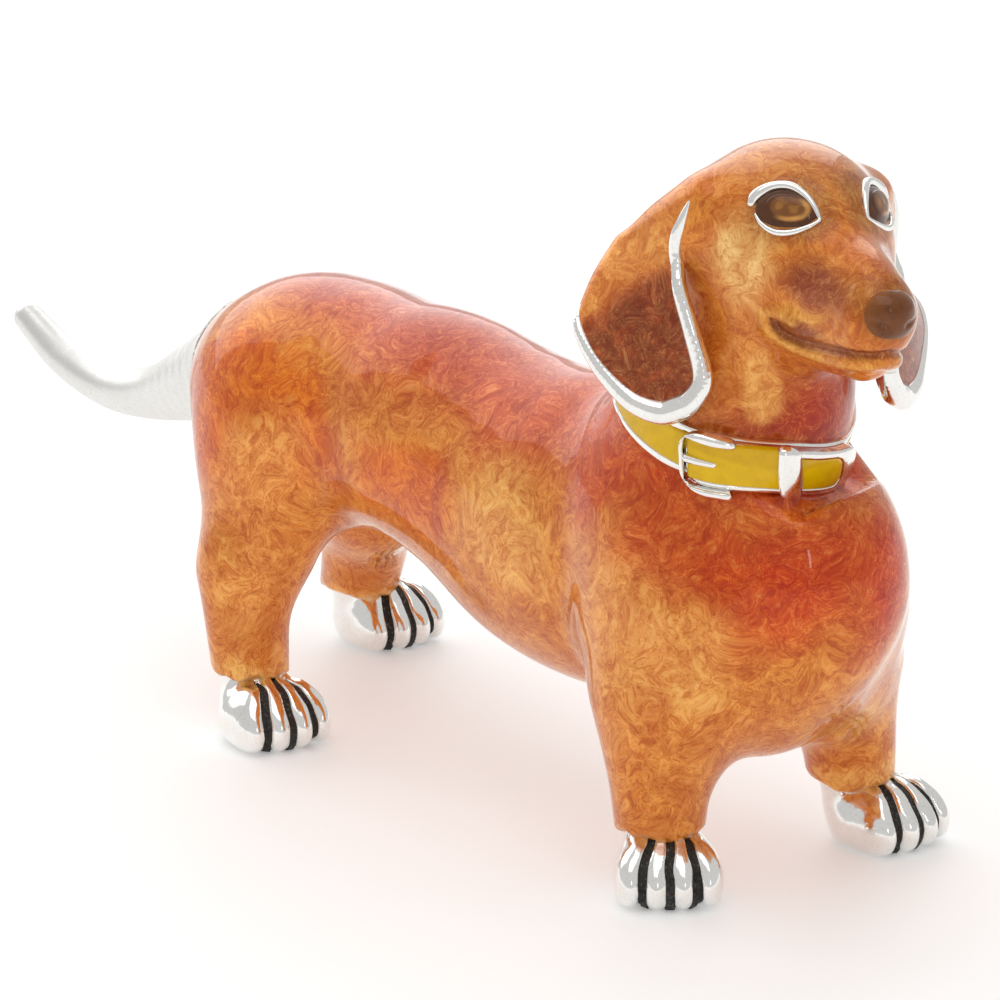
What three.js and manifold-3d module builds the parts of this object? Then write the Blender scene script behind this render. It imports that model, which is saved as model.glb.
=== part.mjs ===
// A standing dachshund figurine: cast silver body, translucent enamel coats, and a buckled collar.
// Units are millimetres. +X points to the nose, +Y to the dog's left side, +Z up.
// The origin is on the ground, under the middle of the figurine's box.
import * as THREE from 'three';
import { mergeVertices } from 'three/addons/utils/BufferGeometryUtils.js';
import Module from 'manifold-3d';

const wasm = await Module();
wasm.setup();

// ---- Driving dimensions ----
const BODY_TO_ORIGIN = new THREE.Vector3(11.69, -0.93, 0); // from the body's own centre to the box centre
const COAT = 0.6; // thickness of the fired enamel
const GAP = 0.3; // clearance between neighbouring pieces
const CORE = COAT + GAP; // how far the cast core lies below the enamel's surface
const ANKLE_HEIGHT = 4.2; // where the enamelled leg ends on the silver paw

const COLLAR = {
  centre: [17.8, -0.6, 30.4],
  tilt: THREE.MathUtils.degToRad(24), // nape high, throat low
  inner: 6.6,
  outer: 7.4,
  height: 3.3,
  edge: 0.45, // silver edge above and below the enamel strip
};
const HEAD = {
  centre: [21.8, 0.2, 41.2],
  yaw: THREE.MathUtils.degToRad(-13), // the head looks a little to the dog's right
  roll: THREE.MathUtils.degToRad(-4.3), // and leans a little to its left
};

// ---- Finishes ----
const finish = (color, roughness, metalness) => new THREE.MeshStandardMaterial({ color, roughness, metalness });
const silver = () => finish(0xe4e3df, 0.12, 1);
const amberEnamel = () => finish(0xcd7436, 0.15, 0.3);
const brownEnamel = () => finish(0x6b3d22, 0.2, 0.2);
const yellowEnamel = () => finish(0xd2aa0e, 0.15, 0.1);
const blackFill = () => finish(0x24211f, 0.5, 0.1);

// ---- Solids: joining and cutting ----
function solidOf(geometry) {
  const bare = geometry.clone();
  bare.deleteAttribute('normal');
  bare.deleteAttribute('uv');
  const merged = mergeVertices(bare, 1e-5);
  const mesh = new wasm.Mesh({
    numProp: 3,
    vertProperties: new Float32Array(merged.attributes.position.array),
    triVerts: new Uint32Array(merged.index.array),
  });
  return new wasm.Manifold(mesh);
}

function geometryOf(solid) {
  const mesh = solid.getMesh();
  const geometry = new THREE.BufferGeometry();
  geometry.setAttribute('position', new THREE.BufferAttribute(mesh.vertProperties, 3));
  geometry.setIndex(new THREE.BufferAttribute(mesh.triVerts, 1));
  geometry.computeVertexNormals();
  return geometry;
}

const join = (solids) => solids.reduce((whole, next) => whole.add(next));

// ---- Basic forms; a positive inset makes the same form that much smaller all round ----
function ellipsoid(centre, radii, inset = 0, columns = 14) {
  const geometry = new THREE.SphereGeometry(1, columns, Math.round(columns * 0.7));
  geometry.rotateX(Math.PI / 2);
  geometry.scale(...radii.map((radius) => radius - inset));
  geometry.translate(...centre);
  return solidOf(geometry);
}

// A tapered limb with round ends, from one point to another.
function limb(from, to, startRadius, endRadius, inset = 0, sides = 10) {
  const start = new THREE.Vector3(...from);
  const along = new THREE.Vector3(...to).sub(start);
  const length = along.length();
  const steps = Math.ceil(sides / 4);
  const profile = [];
  for (let i = 0; i <= steps; i += 1) {
    const angle = (i / steps) * (Math.PI / 2);
    const radius = startRadius - inset;
    profile.push(new THREE.Vector2(i === 0 ? 0 : radius * Math.sin(angle), -radius * Math.cos(angle)));
  }
  for (let i = 0; i <= steps; i += 1) {
    const angle = (i / steps) * (Math.PI / 2);
    const radius = endRadius - inset;
    profile.push(new THREE.Vector2(i === steps ? 0 : radius * Math.cos(angle), length + radius * Math.sin(angle)));
  }
  const geometry = new THREE.LatheGeometry(profile, sides);
  const turn = new THREE.Quaternion().setFromUnitVectors(new THREE.Vector3(0, 1, 0), along.normalize());
  geometry.applyQuaternion(turn);
  geometry.translate(...from);
  return solidOf(geometry);
}

function block(centre, size) {
  const geometry = new THREE.BoxGeometry(...size);
  geometry.translate(...centre);
  return solidOf(geometry);
}

// ---- Frames of the head and the collar, for forms that cross from one to another ----
const headMatrix = new THREE.Matrix4().compose(
  new THREE.Vector3(...HEAD.centre),
  new THREE.Quaternion().setFromEuler(new THREE.Euler(HEAD.roll, 0, HEAD.yaw, 'ZYX')),
  new THREE.Vector3(1, 1, 1),
);
const collarMatrix = new THREE.Matrix4().compose(
  new THREE.Vector3(...COLLAR.centre),
  new THREE.Quaternion().setFromEuler(new THREE.Euler(0, COLLAR.tilt, 0)),
  new THREE.Vector3(1, 1, 1),
);
const intoHead = headMatrix.clone().invert();

const moved = (solid, matrix) => solidOf(geometryOf(solid).applyMatrix4(matrix));

// ---- Trunk and legs ----
const RIBCAGE = [[18.0, 0.5, 18.8], [9.3, 8.6, 11.2]];
const FORECHEST = [[22.6, 0.6, 20.2], [6.2, 6.2, 7.3]];
const RIBS = [[5, 0, 18.8], [17, 8.2, 9.8]];
const LOIN = [[-11.5, 0, 21.5], [15, 7.5, 7.8]];
const RUMP = [[-23, -0.2, 21.2], [10.3, 8.7, 7.9]];
const RIGHT_THIGH = [[-22.6, -6, 15.7], [5.2, 3.5, 6.5]];
const LEFT_THIGH = [[-26.5, 6, 15.5], [5.6, 3.6, 7]];
const RIGHT_SHOULDER = [[17.5, -5.6, 16], [6, 3.9, 7.5]];
const LEFT_SHOULDER = [[18.6, 6, 16], [5.6, 3.8, 7.5]];
const NECK_BASE = [[14.5, 0, 24], [18.2, -0.4, 33], 7.6, 6.2];
const LEGS = {
  right_front: [[17.8, -6.4, 12], [17.6, -6.2, 4.5], 3.7, 2.85],
  left_front: [[18.4, 8, 12], [18.2, 9, 4.5], 3.5, 2.8],
  right_hind: [[-22.9, -7.6, 10.4], [-21.5, -8.2, 4.2], 3, 2.55],
  left_hind: [[-28.5, 7.4, 11], [-31.5, 8.6, 4.2], 3.2, 2.7],
};

// The enamel's outer surface is finer than the surfaces under it.
function trunkForm(inset) {
  const columns = inset > 0 ? 11 : 15;
  const sides = inset > 0 ? 8 : 10;
  return join([
    ...[RIBCAGE, FORECHEST, RIBS, LOIN, RUMP].map((mass) => ellipsoid(...mass, inset, columns)),
    ...[RIGHT_THIGH, LEFT_THIGH, RIGHT_SHOULDER, LEFT_SHOULDER].map((muscle) => ellipsoid(...muscle, inset, sides)),
    ...Object.values(LEGS).map((leg) => limb(...leg, inset, sides)),
    limb(...NECK_BASE, inset, columns),
  ]);
}

// ---- Tail ----
const TAIL_JOINTS = [
  [[-31, 0, 21.3], 4.2],
  [[-36.5, 0, 19.2], 2.9],
  [[-42.5, 0, 16.8], 1.85],
  [[-48, 0, 15.9], 1.45],
  [[-53.3, -0.2, 16.9], 1.25],
  [[-57.3, -0.4, 18.9], 0.95],
];

function tailForm(inset) {
  const lengths = TAIL_JOINTS.slice(1).map(([end, endRadius], i) => {
    const [start, startRadius] = TAIL_JOINTS[i];
    return limb(start, end, startRadius, endRadius, inset, 8);
  });
  return join(lengths);
}

// ---- Head and neck, in the head's frame: origin in the middle of the skull ----
const NECK = [[17.4, -0.4, 28], [20.2, 0, 38], 6.8, 5.3];

function headForm(inset) {
  const columns = inset > 0 ? 11 : 15;
  const sides = inset > 0 ? 8 : 10;
  return join([
    ellipsoid([0, 0, 0], [7, 5.9, 5.9], inset, columns),
    ellipsoid([-2, 0, -1.5], [5.5, 5.8, 6], inset, columns),
    limb([3, 0, -1.8], [10.6, 0, -2.3], 4.2, 2.3, inset, sides),
    limb([2, 0, -4.1], [9.7, 0, -4.6], 3, 1.6, inset, sides),
    moved(limb(...NECK, inset, columns), intoHead),
  ]);
}

// ---- Cutting spaces round the collar, in the collar's frame ----
const CUT = 80; // larger than the figurine's neck and head
const collarHalf = COLLAR.height / 2;

function below(level) {
  return block([0, 0, level - CUT / 2], [CUT, CUT, CUT]);
}

function above(level) {
  return block([0, 0, level + CUT / 2], [CUT, CUT, CUT]);
}

// An arc-shaped block in the collar's frame, from one angle to another in degrees.
function arcBlock(inner, outer, from, to, height, curveSegments = 5) {
  const start = THREE.MathUtils.degToRad(from);
  const end = THREE.MathUtils.degToRad(to);
  const shape = new THREE.Shape();
  shape.absarc(0, 0, outer, start, end, false);
  shape.absarc(0, 0, inner, end, start, true);
  const geometry = new THREE.ExtrudeGeometry(shape, { depth: height, bevelEnabled: false, curveSegments });
  geometry.translate(0, 0, -height / 2);
  return solidOf(geometry);
}

// A ring from a closed profile of [radius, level] corners, turned round the collar's axis.
function ring(corners, sides = 24) {
  const profile = corners.map(([radius, level]) => new THREE.Vector2(radius, level));
  profile.push(profile[0].clone());
  const geometry = new THREE.LatheGeometry(profile, sides);
  geometry.rotateX(Math.PI / 2);
  return solidOf(geometry);
}

const squareRing = (inner, outer, half) => ring([[inner, -half], [outer, -half], [outer, half], [inner, half]]);
// Room for the band itself, and more room outside it for the buckle and the keeper.
const collarSpace = () => join([
  squareRing(COLLAR.inner - GAP, 14, collarHalf + GAP),
  squareRing(COLLAR.outer, 14, 2.6),
]);

// ---- Eyes, nose and ears, in the head's frame ----
const EYE = {
  centre: [4.5, 3, 2.95],
  outward: [0.64, 0.6, 0.48],
  halfWidth: 2.1,
  halfHeight: 1.4,
  rim: 0.3,
};
const NOSE = [[11.9, 0, -1.7], [1.5, 1.75, 1.5]];

// The group of one eye: X along the lids, Y up, Z outward; side is 1 for left and -1 for right.
function eyeMatrix(side) {
  const outward = new THREE.Vector3(EYE.outward[0], side * EYE.outward[1], EYE.outward[2]).normalize();
  const along = new THREE.Vector3(0, 0, 1).cross(outward).normalize();
  const up = new THREE.Vector3().crossVectors(outward, along);
  const matrix = new THREE.Matrix4().makeBasis(along, up, outward);
  return matrix.setPosition(EYE.centre[0], side * EYE.centre[1], EYE.centre[2]);
}

function eyeSpace(side) {
  const reach = EYE.rim + GAP;
  const space = ellipsoid([0, 0, 0], [EYE.halfWidth + reach, EYE.halfHeight + reach, 1.5], 0, 10);
  return moved(space, eyeMatrix(side));
}

function eyeRim() {
  const geometry = new THREE.TorusGeometry(EYE.halfWidth, EYE.rim, 5, 14);
  geometry.scale(1, EYE.halfHeight / EYE.halfWidth, 1);
  return solidOf(geometry);
}

function eyeball() {
  const reach = EYE.rim + GAP;
  return ellipsoid([0, 0, -0.1], [EYE.halfWidth - reach, EYE.halfHeight - reach + 0.1, 0.75], 0, 10);
}

// One ear hangs in its own plane: X forward along the head, Y up the ear, Z outward.
const EAR = {
  centre: [-0.03, 7.8, -4.47],
  forward: [0.74, -0.67, 0.01],
  outward: [0.66, 0.74, 0.14],
  thickness: 1.2,
  rim: 0.9,
  recess: 0.5,
  middle: [-1.6, -0.5], // the point that the panel's outline is drawn in towards
  reach: [4.4, 6.8], // half the outline's length and height
  corners: 20, // of the faceted outline
};
const EAR_OUTLINE = [
  [0.2, 6.9], [0, 6.2], [-0.1, 5.2], [-0.3, 3.2], [0.9, 1.1], [2, -1.1], [2.8, -3.4], [2.2, -5], [1.3, -5.9],
  [0, -6.4], [-2, -5.9], [-4, -4.4], [-5.5, -2.8], [-6.4, -1.2], [-6.1, 1.3], [-5.2, 3.4], [-4.3, 4.6], [-1.2, 6.5],
];

function earMatrix() {
  const outward = new THREE.Vector3(...EAR.outward).normalize();
  const forward = new THREE.Vector3(...EAR.forward);
  forward.addScaledVector(outward, -forward.dot(outward)).normalize();
  const up = new THREE.Vector3().crossVectors(forward, outward);
  return new THREE.Matrix4().makeBasis(forward, up, outward.clone().negate()).setPosition(...EAR.centre);
}

// The ear's outline, drawn in towards its middle so that a rim of about the inset's width is left outside it.
function earPlate(inset, from, to) {
  const middle = new THREE.Vector2(...EAR.middle);
  const across = 1 - inset / EAR.reach[0];
  const upward = 1 - inset / EAR.reach[1];
  const corners = EAR_OUTLINE.map(([x, y]) => (
    new THREE.Vector2(middle.x + (x - middle.x) * across, middle.y + (y - middle.y) * upward)
  ));
  const shape = new THREE.Shape();
  shape.moveTo(corners[0].x, corners[0].y);
  shape.splineThru([...corners.slice(1), corners[0]]);
  const points = shape.getSpacedPoints(EAR.corners).slice(0, -1);
  const geometry = new THREE.ExtrudeGeometry(new THREE.Shape(points), { depth: to - from, bevelEnabled: false });
  geometry.translate(0, 0, from);
  return solidOf(geometry);
}

// ---- Paws ----
const PAW = {
  length: 3.9, // half lengths of the main pad
  width: 3.5,
  height: 2.9,
  centre: 1.5,
  groove: 1.05,
  fill: 0.5,
};
const TOES = [-2.4, -0.85, 0.85, 2.4];
const TOE_GROOVES = { outer: -1.65, middle: 0, inner: 1.65 };
const PAW_PLACES = {
  right_front: { at: [18.9, -6.6], yaw: -38 },
  left_front: { at: [19.9, 10.2], yaw: 4 },
  right_hind: { at: [-19.3, -8.3], yaw: -10 },
  left_hind: { at: [-30.8, 10.2], yaw: -2 },
};

function pawForm(inset) {
  const pad = ellipsoid([0, 0, PAW.centre], [PAW.length, PAW.width, PAW.height], inset, 12);
  const toes = TOES.map((y) => ellipsoid([1.8 - 0.3 * Math.abs(y), y, 1.3], [2, 1, 1.7], inset, 7));
  const topAndSole = block([0, 0, (ANKLE_HEIGHT - GAP) / 2], [12, 12, ANKLE_HEIGHT - GAP]);
  return join([pad, ...toes]).intersect(topAndSole);
}

// A blade between two toes, from the top of the paw down its front.
function toeBlade(y, width, back) {
  return block([back + 5, y, 2.5], [10, width, 4.4]);
}

// ---- Assembly ----
const figurine = new THREE.Group();
figurine.position.copy(BODY_TO_ORIGIN);

function addPiece(parent, name, solid, material) {
  const mesh = new THREE.Mesh(geometryOf(solid), material);
  mesh.name = name;
  parent.add(mesh);
  return mesh;
}

function groupAt(parent, matrix) {
  const group = new THREE.Group();
  group.applyMatrix4(matrix);
  parent.add(group);
  return group;
}

function addTrunk() {
  const underAnkles = block([0, 0, ANKLE_HEIGHT - CUT / 2], [2 * CUT, CUT, CUT]);
  const tailSpace = tailForm(-GAP);
  const outside = trunkForm(0);
  const coat = outside
    .subtract(trunkForm(COAT))
    .subtract(underAnkles)
    .subtract(tailSpace)
    .subtract(moved(collarSpace(), collarMatrix))
    .intersect(moved(below(-collarHalf - GAP), collarMatrix));
  const core = trunkForm(CORE)
    .subtract(underAnkles)
    .subtract(tailSpace)
    .subtract(moved(collarSpace(), collarMatrix))
    .intersect(moved(below(-GAP / 2), collarMatrix));
  addPiece(figurine, 'trunk_casting', core, silver());
  addPiece(figurine, 'trunk_enamel', coat, amberEnamel());
  addPiece(figurine, 'tail_casting', tailForm(0), silver());
}

function addHead() {
  const head = groupAt(figurine, headMatrix);
  const collarToHead = intoHead.clone().multiply(collarMatrix);
  const noseSpace = ellipsoid(...NOSE, -GAP, 10);
  const spaces = join([eyeSpace(-1), eyeSpace(1), noseSpace]);
  const coat = headForm(0)
    .subtract(headForm(COAT))
    .subtract(spaces)
    .subtract(moved(collarSpace(), collarToHead))
    .intersect(moved(above(collarHalf + GAP), collarToHead));
  const core = headForm(CORE)
    .subtract(spaces)
    .subtract(moved(collarSpace(), collarToHead))
    .intersect(moved(above(GAP / 2), collarToHead));
  addPiece(head, 'head_casting', core, silver());
  addPiece(head, 'head_enamel', coat, amberEnamel());
  addPiece(head, 'nose_enamel', ellipsoid(...NOSE, 0, 10), brownEnamel());
  for (const [sideName, side] of [['right', -1], ['left', 1]]) {
    const eye = groupAt(head, eyeMatrix(side));
    addPiece(eye, `${sideName}_eye_rim`, eyeRim(), silver());
    addPiece(eye, `${sideName}_eye_enamel`, eyeball(), brownEnamel());
    addEar(head, sideName, side);
  }
}

function addEar(head, sideName, side) {
  const half = EAR.thickness / 2;
  const place = earMatrix();
  const mirror = new THREE.Matrix4().makeScale(1, side, 1);
  const onSide = (solid) => {
    const geometry = geometryOf(solid).applyMatrix4(place);
    if (side < 0) {
      geometry.applyMatrix4(mirror);
      geometry.index.array.reverse();
    }
    return solidOf(geometry);
  };
  const tray = earPlate(0, -half, half).subtract(earPlate(EAR.rim, -half - 1, -half + EAR.recess));
  const panel = earPlate(EAR.rim + GAP, -half - 0.15, -half + EAR.recess - GAP);
  addPiece(head, `${sideName}_ear_casting`, onSide(tray), silver());
  addPiece(head, `${sideName}_ear_enamel`, onSide(panel), brownEnamel());
}

function addPaws() {
  for (const [leg, { at, yaw }] of Object.entries(PAW_PLACES)) {
    const paw = new THREE.Group();
    paw.position.set(at[0], at[1], 0);
    paw.rotation.z = THREE.MathUtils.degToRad(yaw);
    figurine.add(paw);
    const grooves = Object.values(TOE_GROOVES).map((y) => toeBlade(y, PAW.groove, 1.0));
    const core = pawForm(0.75);
    const cast = pawForm(0).subtract(join(grooves).subtract(core));
    addPiece(paw, `${leg}_paw`, cast, silver());
    for (const [place, y] of Object.entries(TOE_GROOVES)) {
      const fill = pawForm(0.12).subtract(pawForm(0.5)).intersect(toeBlade(y, PAW.fill, 1.3));
      addPiece(paw, `${leg}_${place}_toe_fill`, fill, blackFill());
    }
  }
}

// Angles round the collar are [from, to] in degrees from straight ahead; the buckle sits on the dog's right.
const STRAP = {
  turn: [-62, 34],
  thickness: 0.75,
  floor: 0.15, // silver left under the enamel
  buckleTray: [-47, -22],
  buckleEnamel: [-45.5, -23.5],
  tipTray: [2, 30],
  tipEnamel: [3.5, 28.5],
  trayEdge: 0.35, // silver left above and below a tray
  enamelEdge: 0.55,
};
const BUCKLE = {
  turn: [-66, -36],
  window: [-60, -30],
  thickness: 0.7,
  height: 4.6,
  windowHeight: 3.2,
};
const PRONG = { turn: [-58.5, -46], thickness: 0.55, height: 0.7 };
const KEEPER = { turn: [-17.5, -4.5], opening: [-25, 5], thickness: 0.5, height: 4.5 };
const FEW = 3; // curve steps of a short arc
const BEYOND = 1; // how far a cutting space reaches past what it cuts

function addCollar() {
  const collar = groupAt(figurine, collarMatrix);
  const { inner, outer, height, edge } = COLLAR;
  const floor = outer - 0.35;
  const strip = collarHalf - edge;
  const channel = ring([
    [inner, -collarHalf], [outer, -collarHalf], [outer, -strip], [floor, -strip],
    [floor, strip], [outer, strip], [outer, collarHalf], [inner, collarHalf],
  ]);
  addPiece(collar, 'collar_band', channel, silver());

  const strapInner = outer + GAP;
  const strapOuter = outer + STRAP.thickness;
  const trayFloor = strapInner + STRAP.floor;
  const strapHeight = height - 0.2;
  const trayHeight = strapHeight - 2 * STRAP.trayEdge;
  const tray = arcBlock(strapInner, strapOuter, ...STRAP.turn, strapHeight)
    .subtract(arcBlock(trayFloor, strapOuter + BEYOND, ...STRAP.buckleTray, trayHeight))
    .subtract(arcBlock(trayFloor, strapOuter + BEYOND, ...STRAP.tipTray, trayHeight));
  addPiece(collar, 'strap_end', tray, silver());
  const strapEnamel = (turn) => (
    arcBlock(trayFloor + 0.1, strapOuter + 0.05, ...turn, strapHeight - 2 * STRAP.enamelEdge)
  );
  addPiece(collar, 'strap_enamel', strapEnamel(STRAP.buckleEnamel), yellowEnamel());
  addPiece(collar, 'strap_tip_enamel', strapEnamel(STRAP.tipEnamel), yellowEnamel());

  const stripGap = 0.15;
  const [strapFrom, strapTo] = STRAP.turn;
  const strapShadow = arcBlock(floor, outer + 2, strapFrom - 2, strapTo + 2, height);
  const bandEnamel = squareRing(floor + stripGap, outer + 0.1, strip - 0.2).subtract(strapShadow);
  addPiece(collar, 'collar_enamel', bandEnamel, yellowEnamel());

  const over = strapOuter + GAP;
  const buckle = arcBlock(over, over + BUCKLE.thickness, ...BUCKLE.turn, BUCKLE.height)
    .subtract(arcBlock(over - BEYOND, over + 2 * BEYOND, ...BUCKLE.window, BUCKLE.windowHeight));
  addPiece(collar, 'buckle_frame', buckle, silver());
  addPiece(collar, 'buckle_prong', arcBlock(over, over + PRONG.thickness, ...PRONG.turn, PRONG.height, FEW), silver());

  const keeper = arcBlock(strapInner, over + KEEPER.thickness, ...KEEPER.turn, KEEPER.height, FEW)
    .subtract(arcBlock(strapInner - BEYOND, over, ...KEEPER.opening, height + GAP, FEW));
  addPiece(collar, 'keeper_loop', keeper, silver());
}

addTrunk();
addHead();
addPaws();
addCollar();

export default figurine;
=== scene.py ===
"""Looks of a small cast dog figurine with fired pearly enamel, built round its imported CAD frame.

Lengths are millimetres in the body's own frame: X towards the chest, Y to the dog's left, Z up, with
the ground at zero. piece() moves them to the frame's metres. Every form is a signed distance field,
negative inside, that surface() turns into a mesh.
"""

import bpy
import numpy as np
from mathutils import Matrix, Vector


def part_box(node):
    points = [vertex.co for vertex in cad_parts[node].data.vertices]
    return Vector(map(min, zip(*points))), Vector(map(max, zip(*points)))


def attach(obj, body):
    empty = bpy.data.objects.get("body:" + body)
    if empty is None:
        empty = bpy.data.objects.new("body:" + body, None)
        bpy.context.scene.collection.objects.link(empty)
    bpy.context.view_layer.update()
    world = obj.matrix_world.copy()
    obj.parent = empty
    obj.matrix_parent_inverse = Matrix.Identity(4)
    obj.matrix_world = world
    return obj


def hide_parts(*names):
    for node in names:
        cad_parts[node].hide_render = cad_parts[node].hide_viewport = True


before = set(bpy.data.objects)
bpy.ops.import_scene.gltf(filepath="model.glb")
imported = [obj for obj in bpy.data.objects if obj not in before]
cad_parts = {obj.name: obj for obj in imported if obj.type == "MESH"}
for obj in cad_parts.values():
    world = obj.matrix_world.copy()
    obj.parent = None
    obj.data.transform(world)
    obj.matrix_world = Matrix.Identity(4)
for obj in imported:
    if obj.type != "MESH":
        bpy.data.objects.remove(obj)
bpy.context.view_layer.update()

COARSE = 1.0  # a rough build uses larger cells

# ---- Driving dimensions, shared with the CAD ----
COLLAR_CENTRE = np.array([17.8, -0.6, 30.4])
COLLAR_TILT = 24.0  # degrees, nape high and throat low
COLLAR_OUTER = 7.4
COLLAR_HALF = 1.65  # half the band's height
HEAD_CENTRE = np.array([21.8, 0.2, 41.2])
HEAD_YAW = -13.0  # the head looks a little to the dog's right
HEAD_ROLL = -4.3  # and leans a little to its left
ANKLE = 4.1  # where the enamelled leg ends on the silver paw

band_low, band_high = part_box("collar_band")
TO_ORIGIN = np.array((band_low + band_high) / 2) * 1000 - COLLAR_CENTRE


def turn(axis, angle):
    """The matrix that turns points by the angle in degrees round that axis, 0 to 2."""
    c, s = np.cos(np.radians(angle)), np.sin(np.radians(angle))
    i, j = (axis + 1) % 3, (axis + 2) % 3
    matrix = np.eye(3)
    matrix[i, i] = matrix[j, j] = c
    matrix[i, j], matrix[j, i] = -s, s
    return matrix


def unit(v):
    v = np.asarray(v, float)
    return v / np.linalg.norm(v)


class Place:
    """A local frame: its axes are the columns of turn, seen from the frame round it."""

    def __init__(self, origin, turn):
        self.origin = np.asarray(origin, float)
        self.turn = np.asarray(turn, float)

    def inward(self, p):
        return (p - self.origin) @ self.turn

    def outward(self, q):
        return q @ self.turn.T + self.origin

    def within(self, parent):
        return Place(parent.outward(self.origin), parent.turn @ self.turn)


BODY = Place([0, 0, 0], np.eye(3))
HEAD = Place(HEAD_CENTRE, turn(2, HEAD_YAW) @ turn(0, HEAD_ROLL))
COLLAR = Place(COLLAR_CENTRE, turn(1, COLLAR_TILT))


# ---- Distance fields ----
def ellipsoid(p, centre, radii):
    q = p - np.array(centre, float)
    r = np.array(radii, float)
    k0 = np.linalg.norm(q / r, axis=-1)
    k1 = np.linalg.norm(q / r**2, axis=-1) + 1e-9
    return k0 * (k0 - 1) / k1


def limb(p, start, end, start_radius, end_radius):
    a = np.array(start, float)
    along = np.array(end, float) - a
    t = np.clip(((p - a) @ along) / (along @ along), 0, 1)
    centre = a + t[:, None] * along
    return np.linalg.norm(p - centre, axis=-1) - (start_radius + (end_radius - start_radius) * t)


def chain(p, points, radii, blend):
    """Limbs end to end through the points."""
    d = None
    for i in range(len(points) - 1):
        part = limb(p, points[i], points[i + 1], radii[i], radii[i + 1])
        d = part if d is None else join(d, part, blend)
    return d


def bead(p, line, radius, blend):
    """A chain of one radius."""
    return chain(p, line, [radius] * len(line), blend)


def join(a, b, blend):
    h = np.maximum(blend - np.abs(a - b), 0) / blend
    return np.minimum(a, b) - h * h * blend / 4


def meet(a, b, blend):
    return -join(-a, -b, blend)


def cut(a, b, blend):
    return -join(-a, b, blend)


def smooth(x, low, high):
    t = np.clip((x - low) / (high - low), 0, 1)
    return t * t * (3 - 2 * t)


def hash_lattice(i, j, k, seed):
    n = (i * 73856093) ^ (j * 19349663) ^ (k * 83492791) ^ (seed * 2654435)
    n = (n ^ (n >> 13)) * 1274126177
    return ((n ^ (n >> 16)) & 65535) / 32767.5 - 1


def ripple(p, size, seed):
    """Smooth noise from -1 to 1 whose features are about size across."""
    q = p / size
    cell = np.floor(q).astype(np.int64)
    f = q - cell
    f = f * f * (3 - 2 * f)
    total = 0
    for dx in (0, 1):
        wx = f[:, 0] if dx else 1 - f[:, 0]
        for dy in (0, 1):
            wy = f[:, 1] if dy else 1 - f[:, 1]
            for dz in (0, 1):
                wz = f[:, 2] if dz else 1 - f[:, 2]
                corner = hash_lattice(cell[:, 0] + dx, cell[:, 1] + dy, cell[:, 2] + dz, seed)
                total = total + wx * wy * wz * corner
    return total


def spline(points, steps, closed=False):
    """A Catmull-Rom curve through the points, each a row of any length."""
    rows = np.array(points, float)
    n = len(rows)
    spans = n if closed else n - 1
    out = []
    for i in range(spans):
        if closed:
            a, b, c, d = rows[i - 1], rows[i], rows[(i + 1) % n], rows[(i + 2) % n]
        else:
            a, b = rows[max(i - 1, 0)], rows[i]
            c, d = rows[i + 1], rows[min(i + 2, n - 1)]
        for t in np.arange(steps) / steps:
            rise = (c - a) * t
            bend = (2 * a - 5 * b + 4 * c - d) * t * t
            twist = (3 * b - a - 3 * c + d) * t * t * t
            out.append(b + (rise + bend + twist) / 2)
    if not closed:
        out.append(rows[-1])
    return np.array(out)


def outline_distance(x, y, outline):
    """Signed distance in the plane to a closed outline."""
    best = np.full(len(x), 1e9)
    inside = np.zeros(len(x), bool)
    for (ax, ay), (bx, by) in zip(outline, np.roll(outline, -1, axis=0)):
        ex, ey = bx - ax, by - ay
        wx, wy = x - ax, y - ay
        t = np.clip((wx * ex + wy * ey) / (ex * ex + ey * ey), 0, 1)
        best = np.minimum(best, (wx - ex * t) ** 2 + (wy - ey * t) ** 2)
        crosses = (ay > y) != (by > y)
        level = ex * (y - ay) / (ey if abs(ey) > 1e-9 else 1e-9) + ax
        inside ^= crosses & (x < level)
    best = np.sqrt(best)
    return np.where(inside, -best, best)


def plate(flat, level, half, edge):
    """A plate of the flat outline distance, half thick each way, with rounded edges."""
    a = flat + edge
    b = np.abs(level) - half + edge
    outside = np.sqrt(np.maximum(a, 0) ** 2 + np.maximum(b, 0) ** 2)
    return outside + np.minimum(np.maximum(a, b), 0) - edge


def slope(form, p, step):
    g = np.zeros_like(p)
    for axis in range(3):
        q = p.copy()
        q[:, axis] += step
        ahead = form(q)
        q[:, axis] -= 2 * step
        g[:, axis] = (ahead - form(q)) / (2 * step)
    return g


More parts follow.
